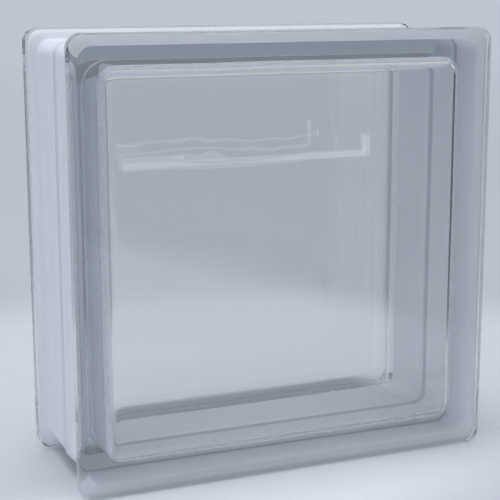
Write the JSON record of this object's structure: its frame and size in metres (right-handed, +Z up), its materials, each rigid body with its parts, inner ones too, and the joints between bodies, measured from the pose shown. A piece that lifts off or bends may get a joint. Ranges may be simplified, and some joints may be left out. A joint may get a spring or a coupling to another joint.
{
  "type": "glass block",
  "caption": "Square hollow glass block for walls, with clear panes, bare glass flanges and white coated mortar channels round all edges.",
  "frame": {"origin": "middle of the base, on the floor plane under the centre of the block", "axes": "+Z up through the top edge, -Y out of the front face, +X to the right seen from the front"},
  "size_m": [0.19, 0.08, 0.19],
  "materials": {
    "clear_glass": "pressed soda-lime glass, fire polished, clear with a faint grey-blue body and slight waviness inside",
    "edge_coat": "thin white bonding coat, satin, slightly uneven"
  },
  "bodies": {
    "root": {"glass_body": "clear_glass", "edge_coating": "edge_coat"}
  },
  "joints": []
}
